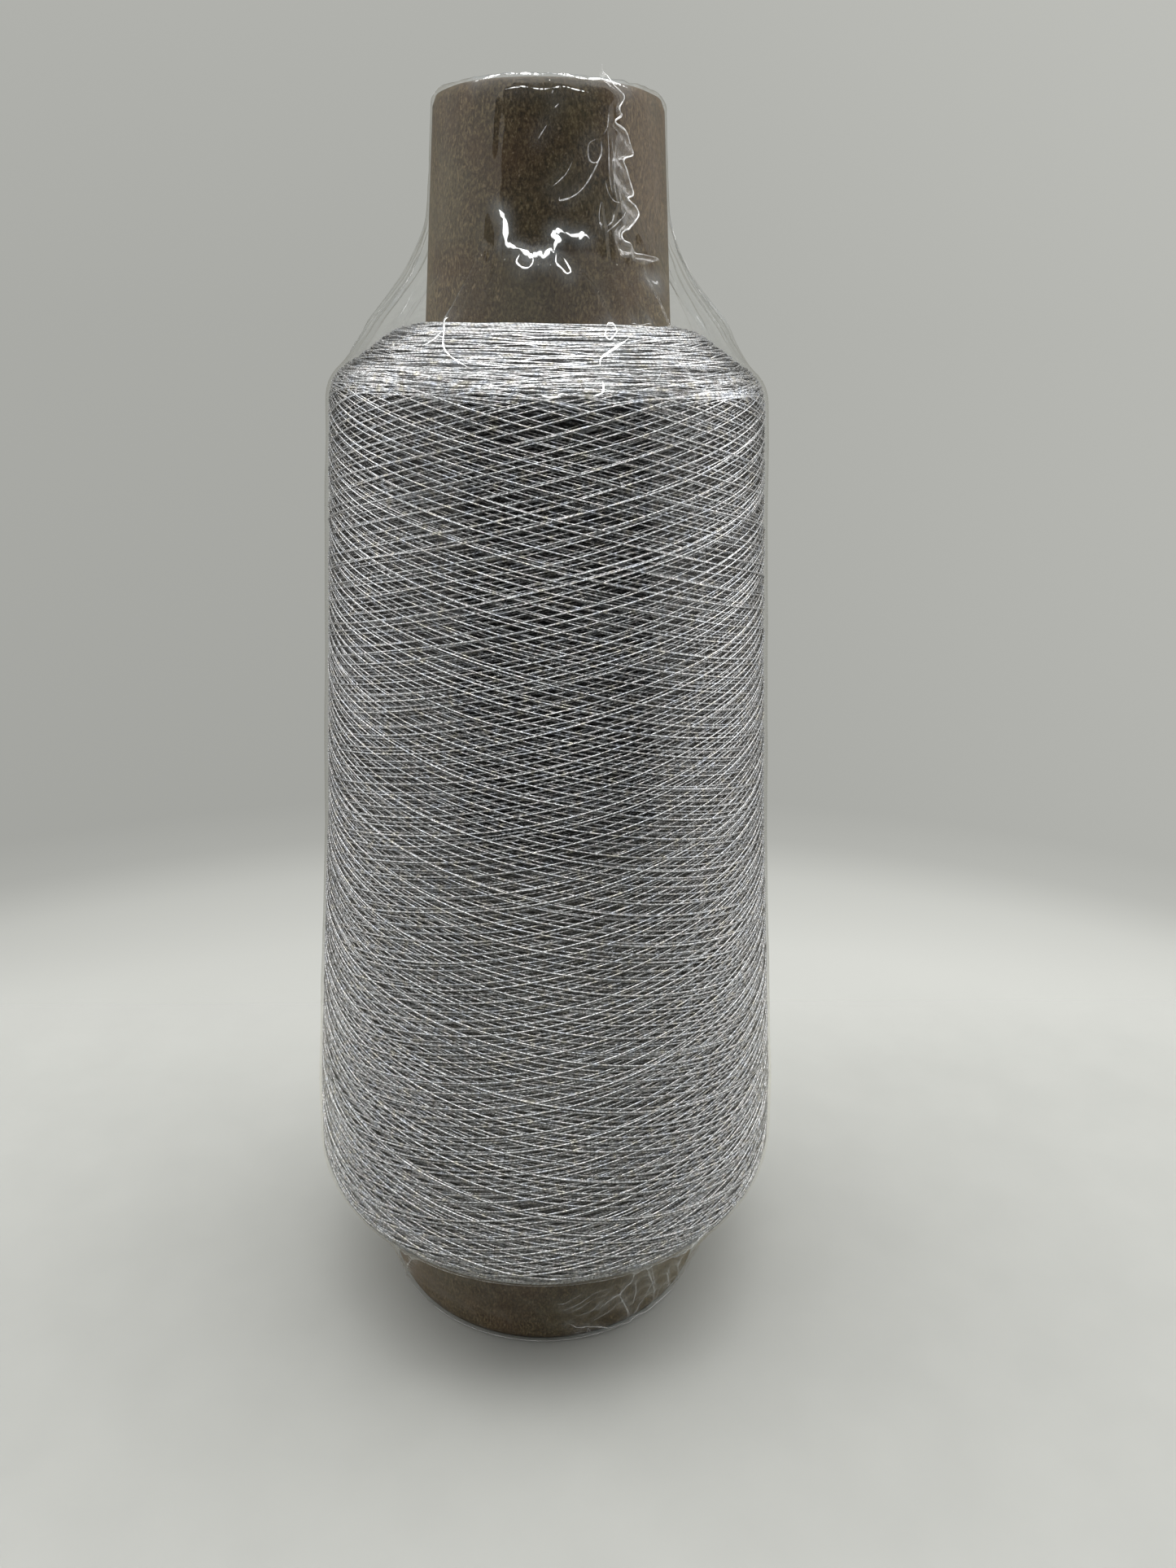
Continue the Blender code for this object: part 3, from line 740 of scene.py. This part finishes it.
class Film:
    """The shrink film as a grid of points: rows from the vent down to the lip, columns from behind."""

    def __init__(self):
        side_r, side_z = outline("film_wrap", outer=False)
        on_side = (side_r > NOSE_DISC) & (side_z > LIP_HEIGHT)
        side_r, side_z = side_r[on_side], side_z[on_side]
        disc = np.linspace(VENT_RADIUS, side_r[0] - 0.1, 12)
        lip = np.linspace(side_r[-1] - 0.2, LIP_RADIUS, 8)
        r = np.concatenate([disc, side_r, lip])
        z = np.concatenate([0 * disc + side_z[0] + 0.05, side_z, 0 * lip + LIP_RISE])
        length = np.concatenate([[0], np.cumsum(np.hypot(np.diff(r), np.diff(z)))])
        spacing = np.interp(-z, [-height for height, _ in FILM_ROWS], [step for _, step in FILM_ROWS])
        spacing[: len(disc)] = DISC_STEP
        number = np.concatenate([[0], np.cumsum(np.diff(length) / spacing[1:])])
        at = np.interp(np.arange(0, number[-1]), number, length)
        self.r, self.z = np.interp(at, length, r), np.interp(at, length, z)
        self.first, self.last = np.searchsorted(at, length[len(disc)]), np.searchsorted(at, length[-len(lip)])
        self.degrees = -180 + 360 * np.arange(FILM_COLUMNS) / FILM_COLUMNS
        self.shape()
        across = np.roll(self.points, -1, 1) - np.roll(self.points, 1, 1)
        normal = np.cross(np.gradient(self.points, axis=0), across)
        self.normal = normal / np.linalg.norm(normal, axis=-1, keepdims=True)

    def placed(self, radius, height):
        angle = np.radians(self.degrees - 90)
        return np.stack([radius * np.cos(angle), radius * np.sin(angle), height + 0 * angle], -1)

    def shape(self):
        """Lays the film: clinging to the cone, tented to the yarn, slack on it, gathered at the foot."""
        rng = np.random.default_rng(FILM_SEED)
        theta, r, z = self.degrees[None, :], self.r[:, None], self.z[:, None]
        rest = self.placed(r, z)
        side = np.zeros_like(r)
        side[self.first : self.last] = 1.0
        lift = side * (self.wrinkles(theta, z, rest) + self.folds(theta, z, rest, rng))
        self.cling = 0 * theta + side * (0.42 + 0.58 * rise(z, 203, 211))
        self.haze = 0 * theta + TENT_HAZE * side * band(z, 190, 197, 212, 220)
        self.loose = loose_creases(rng)
        for crease in NECK_CREASES + FINE_CREASES + RIM_CREASES + FOOT_CREASES + HEM_CREASES + self.loose:
            self.crease(lift, side, *crease)
        lift = np.clip(lift, SLACK_LOW, SLACK_HIGH)

        cone_r, cone_z = outline("core_cone")
        cone = np.interp(-z, -cone_z, cone_r) + FILM_GAP
        cling = CLING_FRONT + (CLING_SIDE - CLING_FRONT) * rise(np.abs(theta + 2), 25, 60)
        cling = cling + 0.35 * grain(self.placed(20, 210)[None], 7, 1)
        opened = rise(cling - z, 0, cling - TENT_END)
        in_tent = side * (z > TENT_END) * (z < CLING_SIDE + 2)
        radius = np.where(in_tent > 0, cone + (r - cone) * opened, r)
        flat_top = 1 - side
        flat_top[self.last :] = 0
        spokes = sum(np.sin(np.radians(theta) * n + p) for n, p in ((17, 0.4), (29, 2.1), (41, 4))) / 3
        dome = flat_top * (0.10 + 0.07 * spokes * rise(r, 3, 9) + 0.05 * grain(rest, 3, 9))
        slope_r, slope_z = np.gradient(self.r), np.gradient(self.z)
        size = np.hypot(slope_r, slope_z)
        out_r, out_z = (-slope_z / size)[:, None], (slope_r / size)[:, None]
        out_z = np.where(z < HEM_FLAT, 0, out_z)
        self.points = self.placed(radius + lift * out_r, z + lift * out_z + dome)

    def wrinkles(self, theta, z, rest):
        """Slack on the yarn, upright wrinkles on the neck, more at the rim and beside the seal."""
        slack = sum(height * grain(rest, size, seed) for height, size, seed in SLACK_WAVES)
        upright = 0.12 * grain(rest * (1, 1, 0.35), 2.2, 5) * rise(-z, -229, -216)
        puckers = hump(theta - 33, 9) * band(z, 200, 207, 227, 230)
        streaks = hump(theta + 25.5, 2.5) * band(z, 218, 221, 226, 228)
        return (
            band(z, 26, 40, 186, 194) * (0.12 + 0.8 * slack)
            + rise(z, 196, 204) * (0.10 * grain(rest, 3.5, 4) + upright)
            + rise(z, 227.5, 229.5) * (0.10 + 0.22 * grain(rest, 2, 6))
            + puckers * (0.18 + 0.55 * grain(rest, 3.2, 7))
            + streaks * 0.16 * np.sin(theta * 5 + 0.25 * z)
        )

    def folds(self, theta, z, rest, rng):
        """Upright folds where the film leaves the neck, and the gathers at the foot."""
        lift = 0.0
        tent = band(z, 190, 197, 206, 214)
        for _ in range(TENT_FOLDS):
            centre, bend = rng.uniform(-180, 180), rng.uniform(-0.5, 0.5)
            height, width = rng.uniform(0.25, 0.8), rng.uniform(1.2, 2.6)
            if abs(centre) < SMOOTH_FRONT:
                height *= 0.35
            away = (theta - centre - bend * (z - 200) + 180) % 360 - 180
            lift = lift + tent * height * hump(away, width)
        gathers = band(-z, -27, -22, -2.5, -0.6) * (0.35 + 1.1 * hump(theta - 45, 32))
        for _ in range(FOOT_GATHERS):
            centre, bend = rng.uniform(-180, 180), rng.uniform(-1.2, 1.2)
            height, width = rng.uniform(0.2, 0.75), rng.uniform(0.9, 2.2)
            top = rng.uniform(12, 28)
            away = (theta - centre - bend * (z - 12) + 180) % 360 - 180
            lift = lift + gathers * height * hump(away, width) * rise(top - z, 0, 6)
        return lift + gathers * 0.5 * grain(rest, 5, 8)

    def crease(self, lift, side, half_width, height, places):
        """Raises a ridge along a crease, and hazes the film beside it."""
        line = smooth_line(places)
        rows = (self.z > line[:, 1].min() - 4) & (self.z < line[:, 1].max() + 4) & (side[:, 0] > 0)
        columns = (self.degrees > line[:, 0].min() - 14) & (self.degrees < line[:, 0].max() + 14)
        box = np.ix_(rows, columns)
        turned = np.radians(self.degrees[columns][None, :, None] - line[:, 0])
        across, up = turned * self.r[rows][:, None, None], self.z[rows][:, None, None] - line[:, 1]
        away = np.sqrt((across**2 + up**2).min(-1))
        lift[box] += height * hump(away, RIDGE_WIDTH)
        milk = (CREASE_MILK if line[0, 1] > TENT_END - 15 else FOOT_MILK) * half_width
        self.haze[box] = np.maximum(self.haze[box], milk * hump(away, MILK_WIDTH))

    def at(self, places, lift=0):
        """Points at (degrees, height) places, raised off the film, and the film's normals there."""
        degrees, height = places[:, 0], places[:, 1]
        column = (degrees + 180) / 360 * FILM_COLUMNS
        rows = np.arange(self.first, self.last)
        row = np.interp(-height, -self.z[rows], rows)
        i, j = np.clip(row.astype(int), self.first, self.last - 2), column.astype(int) % FILM_COLUMNS
        u, v = (row - i)[:, None], (column % 1)[:, None]
        found = []
        for grid in (self.points, self.normal):
            upper = grid[i, j] * (1 - v) + grid[i, (j + 1) % FILM_COLUMNS] * v
            lower = grid[i + 1, j] * (1 - v) + grid[i + 1, (j + 1) % FILM_COLUMNS] * v
            found.append(upper * (1 - u) + lower * u)
        point, normal = found
        normal /= np.linalg.norm(normal, axis=1, keepdims=True)
        point = point + normal * np.broadcast_to(lift, len(point))[:, None]
        point[:, 2] += np.maximum(height - self.z[self.first], 0)
        return point, normal


def beads(name, film, lines, lift, rough, seed, **piece):
    """Tapered beads of gathered film plastic along (half width, ridge, places) lines."""
    rng = np.random.default_rng(seed)
    rows = []
    turn = np.arange(BEAD_SIDES) * TAU / BEAD_SIDES
    for half_width, _, places in lines:
        if half_width < THINNEST:
            continue
        centre, normal = film.at(smooth_line(places), lift)
        across, up = beside(centre, normal)
        share = np.linspace(0, 1, len(centre))
        taper = np.clip(np.minimum(share, 1 - share) * 6, 0.12, 1)
        knots = len(centre) // 3 + 2
        uneven = 1 + rough * np.interp(share, np.linspace(0, 1, knots), rng.uniform(-1, 1, knots))
        width = (half_width * taper * uneven)[:, None, None]
        ring = width * (across[:, None] * np.cos(turn)[:, None] + 0.6 * up[:, None] * np.sin(turn)[:, None])
        rows.append(centre[:, None] + ring)
    ringed_piece(name, rows, BEAD_CAPS, **piece)


def ribbon(name, film, left, right, columns=8, lift=(0.10, 0.55), ripple=0.18, **piece):
    """A ragged strip of welded film between two lines, lifting off towards its free edge."""
    left, right = smooth_line(left), smooth_line(right)
    share = np.linspace(0, 1, columns)
    rows = []
    for s in share:
        places = left * (1 - s) + right * s
        wave = ripple * np.sin(places[:, 1] * 1.9 + 4 * s) * np.sin(math.pi * s)
        rows.append(film.at(places, lift[0] + (lift[1] - lift[0]) * s**1.5 + wave)[0])
    points = np.stack(rows, 1)
    faces = grid_faces(points.shape[0], columns, wrap_columns=False)
    return mesh_piece(name, points.reshape(-1, 3), faces, **piece)


def long_seal():
    """The seal's way down the yarn, from the neck to the foot: its fold and its free edge."""
    height = np.linspace(SEAL_HIGH, SEAL_LOW, 60)
    turn = (SEAL_HIGH - height) / 178.0
    wander = np.sin(turn * 23 + 1.2) + 0.5 * np.sin(turn * 57 + 1)
    middle = SEAL_SIDE + SEAL_WANDER * wander - 4 * turn
    half = (0.45 + 0.2 * np.sin(turn * 91)) * (0.3 + 0.7 * rise(turn, 0.02, 0.09))
    return np.stack([middle - half, height], 1), np.stack([middle + half, height], 1)


def loose_creases(rng):
    """Short creases that the film has all round, away from the ones at the front."""
    lines = []
    for _ in range(LOOSE_CREASES):
        degrees = rng.uniform(58, 315)
        low, high = ((197, 212), (206, 227), (2, 24), (5, 27))[rng.integers(4)]
        height, fall = rng.uniform(low, high), rng.uniform(2, 9)
        lean = rng.uniform(-0.9, 0.9) * fall
        bend = rng.uniform(-1.5, 1.5)
        end = max(height - fall, 1.5)
        places = ((degrees, height), (degrees + lean / 2 + bend, (height + end) / 2), (degrees + lean, end))
        places = tuple(((d + 180) % 360 - 180, z) for d, z in places)
        if max(d for d, _ in places) - min(d for d, _ in places) < 90:
            lines.append((rng.uniform(0.03, 0.075), rng.uniform(0.1, 0.4), places))
    return tuple(lines)


def waved_ring(height, waves, gap=0, start=-180, count=200):
    """A level line round the cone, with waves of (size, how many), from one side of a gap to the other."""
    turn = np.linspace(gap, TAU - gap, count)
    level = height + sum(size * np.sin(many * turn) for size, many in waves)
    return np.stack([start + np.degrees(turn), level], 1)


def make_film():
    """The film's sheet, and its plastic gathered along the creases, the seal and the hem."""
    film = Film()
    wrap = dict(slot="clear_film", stands_for="film_wrap")
    welded = dict(slot="film_seal", stands_for="film_trim_seal")
    faces = grid_faces(len(film.z), FILM_COLUMNS)
    sheet = mesh_piece("film_sheet", film.points.reshape(-1, 3), faces, material=clear_film(), **wrap)
    mark(sheet, "haze", film.haze)
    mark(sheet, "cling", film.cling)
    look = {name: gathered_film("film_" + name, *settings) for name, settings in GATHERED.items()}

    fold, edge = long_seal()
    ribbon("seal_neck", film, SEAL_FOLD, SEAL_EDGE, material=look["weld"], **welded)
    thin = dict(columns=4, lift=(0.05, 0.3), ripple=0.05, material=look["thin_weld"])
    ribbon("seal_side", film, fold, edge, **thin, **welded)
    # The ring round the rest of the nose is partly a painted highlight along the rim.
    nose = waved_ring(229.5, NOSE_WAVES, gap=NOSE_GAP, start=0.0, count=150)
    landing, hem = waved_ring(27.6, LANDING_WAVES), waved_ring(0.55, HEM_WAVES)
    folds = [(FOLD_WIDTH * width, height, places) for width, height, places in FOOT_CREASES]
    for name, lines, kind, seed, lift, rough, part in (
        ("crease_neck", NECK_CREASES, "highlight_crease", 1, 0.06, 0.7, wrap),
        ("crease_fine", FINE_CREASES, "crease", 2, 0.06, 0.35, wrap),
        ("crease_loose", film.loose, "crease", 11, 0.06, 0.6, wrap),
        ("crease_nose", ((0.06, 0, nose),), "crease", 12, 0.03, 0.9, wrap),
        ("crease_rim", RIM_CREASES, "glint", 3, 0.06, 0.95, wrap),
        ("crease_foot", FOOT_CREASES, "foot_crease", 4, 0.06, 0.6, wrap),
        ("crease_foot_folds", folds, "fold", 10, 0.0, 0.6, wrap),
        ("crease_hem", HEM_CREASES, "foot_crease", 5, 0.06, 0.35, wrap),
        ("seal_bead", ((0.13, 0, SEAL_EDGE),), "bead", 6, 0.6, 0.35, welded),
        ("seal_side_bead", ((0.035, 0, edge),), "crease", 7, 0.3, 0.35, welded),
        ("crease_landing", ((0.11, 0, landing),), "crease", 9, 0.05, 0.35, wrap),
        ("seal_hem", ((0.09, 0, hem),), "crease", 8, 0.05, 0.35, wrap),
    ):
        beads(name, film, lines, lift, rough, seed, material=look[kind], **part)


# ---- stage


def make_floor():
    """A pale floor that fades into the backdrop at its rim and behind the cone."""
    material, g = new_material("floor")
    place = g.place()
    away = g.add("VectorMath", {0: place}, operation="LENGTH").outputs["Value"]
    tone = g.ramp(g.noise(place, 60.0, 3.0), (0.3, FLOOR_DARK), (0.7, FLOOR_LIGHT))
    paint = g.out("BsdfPrincipled", {"Base Color": tone, "Roughness": 0.55, "Specular IOR Level": 0.25})
    fade = g.math("MAXIMUM", g.step(away, *FLOOR_FADE), g.step(g.axes(place)[1], *FLOOR_FADE_BEHIND))
    g.end(g.blend(fade, paint, g.out("BsdfTransparent")))
    bpy.ops.mesh.primitive_circle_add(vertices=96, radius=FLOOR_RADIUS, fill_type="NGON")
    floor = bpy.context.object
    floor.name = "floor"
    floor.data.materials.append(material)


def make_world():
    """Pale walls and a brighter ceiling, with a dark figure's width missing behind the camera."""
    world = bpy.data.worlds.new("studio")
    world.use_nodes = True
    bpy.context.scene.world = world
    g = Graph(world.node_tree)
    x, y, z = g.axes(g.add("TexCoord").outputs["Generated"])
    turned = g.math("ARCTAN2", x, g.times(y, -1.0))
    azimuth = g.math("ABSOLUTE", g.math("SUBTRACT", turned, FIGURE_AZIMUTH))
    elevation = g.math("ARCSINE", z)
    open_side = g.math("MAXIMUM", g.step(azimuth, *FIGURE_SIDE), g.step(elevation, *FIGURE_TOP))
    wall = g.ramp(g.step(elevation, -0.6, 1.3), *WALL_TONES)
    behind = g.times(g.step(y, 0.35, 0.85), g.step(elevation, 0.9, 0.5))
    seen = g.mix(open_side, FIGURE_TONE, g.mix(behind, wall, WALL_BEHIND))
    tones = ((at, (level, 1.01 * level, 0.95 * level)) for at, level in BACKDROP)
    backdrop = g.ramp(g.plus(g.times(elevation, 0.6), 0.75), *tones)
    colour = g.mix(g.add("LightPath").outputs["Is Camera Ray"], seen, backdrop)
    rightwards = g.plus(g.times(g.math("MAXIMUM", x, 0.0), 0.4), 1.0)
    g.end(g.out("Background", {"Color": colour, "Strength": rightwards}), "OutputWorld")


def area_light(name, place, target, size, power):
    """A rectangular light at a place, turned to its target."""
    data = bpy.data.lights.new(name, "AREA")
    data.shape = "RECTANGLE"
    data.size, data.size_y = size
    data.energy = power
    light = bpy.data.objects.new(name, data)
    light.location = place
    light.rotation_euler = (Vector(target) - Vector(place)).to_track_quat("-Z", "Y").to_euler()
    bpy.context.scene.collection.objects.link(light)
    return light


def make_lights():
    """Soft lights that the clear film does not mirror, and a small lamp that it does."""
    solid = [o for o in bpy.context.scene.objects if o.type == "MESH" and not o.name.startswith("film")]
    receivers = {
        "room": solid,
        "object": [o for o in solid if o.name != "floor"],
        "board": [o for o in solid if o.name == "board_cone"],
    }
    for kind, lights in LIGHTS.items():
        linked = bpy.data.collections.new(f"lit_{kind}")
        for obj in receivers[kind]:
            linked.objects.link(obj)
        for settings in lights:
            light = area_light(*settings)
            light.light_linking.receiver_collection = linked
            light.visible_camera = False
    area_light(*LAMP)


def make_camera():
    """The photo's camera."""
    data = bpy.data.cameras.new("camera")
    data.lens, data.sensor_width = LENS, SENSOR
    data.clip_start, data.clip_end = 0.01, 20.0
    pitch, yaw, roll = (math.radians(a) for a in (CAMERA_PITCH, CAMERA_YAW, CAMERA_ROLL))
    forward = Vector((math.sin(yaw) * math.cos(pitch), math.cos(yaw) * math.cos(pitch), -math.sin(pitch)))
    right = Vector((math.cos(yaw), -math.sin(yaw), 0.0))
    up = right.cross(forward)
    right, up = right * math.cos(roll) + up * math.sin(roll), up * math.cos(roll) - right * math.sin(roll)
    camera = bpy.data.objects.new("camera", data)
    camera.matrix_world = Matrix((right, up, -forward)).transposed().to_4x4()
    camera.matrix_world.translation = (0.0, -CAMERA_BACK * MM, CAMERA_HEIGHT * MM)
    bpy.context.scene.collection.objects.link(camera)
    bpy.context.scene.camera = camera


def main():
    bpy.context.scene.view_settings.view_transform = "Standard"
    skin = Skin(*outline("yarn_winding"))
    yarn = metallic_yarn()
    make_cone(kraft_board())
    make_yarn(skin, yarn, shaded_packed_yarn())
    make_film()
    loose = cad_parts["yarn_running_end"]
    loose.data.materials.clear()
    loose.data.materials.append(yarn)
    make_floor()
    make_world()
    make_lights()
    make_camera()


main()
